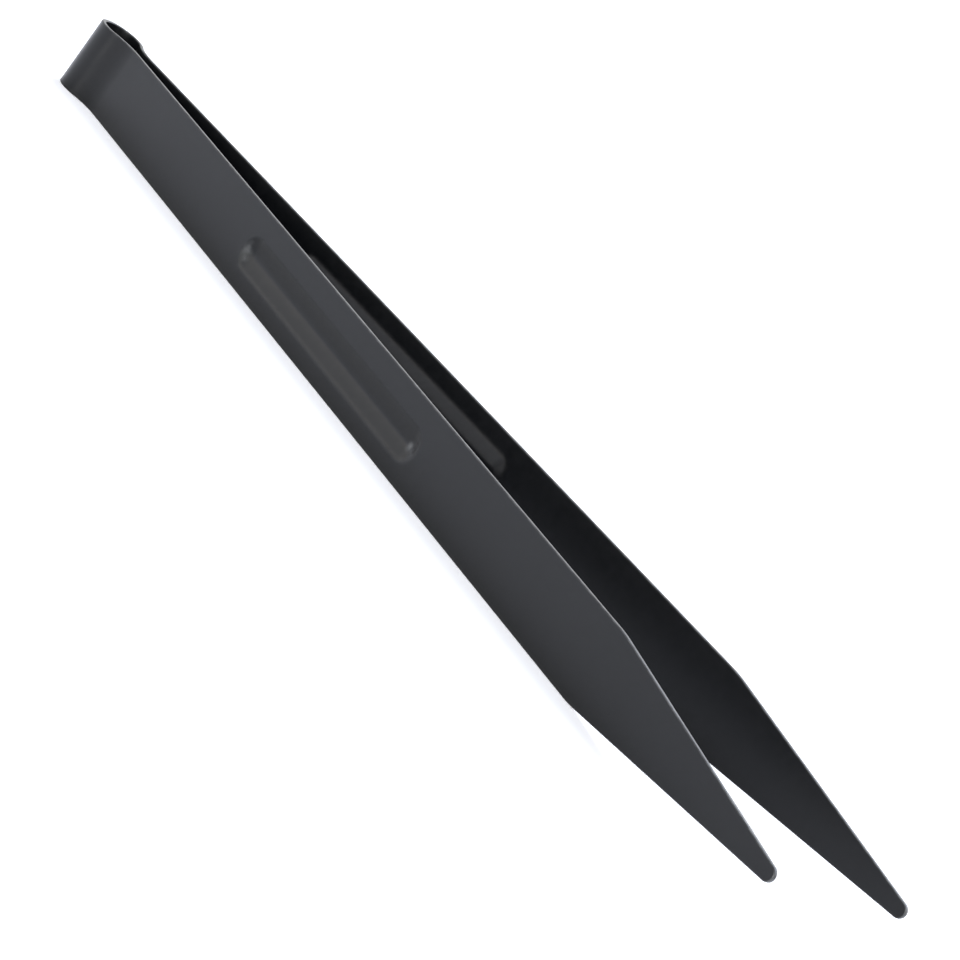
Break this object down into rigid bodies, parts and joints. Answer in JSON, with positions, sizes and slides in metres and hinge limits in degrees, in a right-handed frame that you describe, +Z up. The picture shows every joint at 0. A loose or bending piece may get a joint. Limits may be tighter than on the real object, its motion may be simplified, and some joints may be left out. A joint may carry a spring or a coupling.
{
  "type": "tweezers",
  "caption": "Spring tweezers folded from one black-coated steel strip: open keyhole bow, long splayed arms with pressed finger grooves, and flat spade-shaped tips.",
  "frame": {"origin": "under the middle of the whole, on the surface that the tweezers stand on with their long edges", "axes": "+X from the bow at the head to the tips, +Y the way the left arm opens, +Z up across the strip's width"},
  "size_m": [0.1692, 0.026, 0.01],
  "materials": {
    "black_coated_steel": "satin black coating, smooth, slightly worn to grey on the thin edges"
  },
  "bodies": {
    "bow": {"spring_bow": "black_coated_steel"},
    "left_neck": {"left_neck": "black_coated_steel"},
    "right_neck": {"right_neck": "black_coated_steel"},
    "left_arm": {"left_arm": "black_coated_steel"},
    "right_arm": {"right_arm": "black_coated_steel"}
  },
  "joints": [
    {"name": "squeeze", "type": "hinge", "parent": "bow", "child": "left_neck", "pos_m": [-0.07517, 0.00142, 0.005], "axis": [0, 0, -1], "range_deg": [0, 3.32], "stiffness_Nm_per_rad": 1.5},
    {"name": "squeeze_right", "type": "hinge", "parent": "bow", "child": "right_neck", "pos_m": [-0.07517, -0.00142, 0.005], "axis": [0, 0, 1], "range_deg": [0, 3.32], "stiffness_Nm_per_rad": 1.5},
    {"name": "left_leaf_flex", "type": "hinge", "parent": "left_neck", "child": "left_arm", "pos_m": [-0.04658, 0.00356, 0.005], "axis": [0, 0, -1], "range_deg": [0, 1.33], "stiffness_Nm_per_rad": 1.9},
    {"name": "right_leaf_flex", "type": "hinge", "parent": "right_neck", "child": "right_arm", "pos_m": [-0.04658, -0.00356, 0.005], "axis": [0, 0, 1], "range_deg": [0, 1.33], "stiffness_Nm_per_rad": 1.9}
  ],
  "couplings": [
    {"joint": "squeeze_right", "follows": "squeeze", "ratio": 1},
    {"joint": "left_leaf_flex", "follows": "squeeze", "ratio": 0.4},
    {"joint": "right_leaf_flex", "follows": "squeeze", "ratio": 0.4}
  ]
}
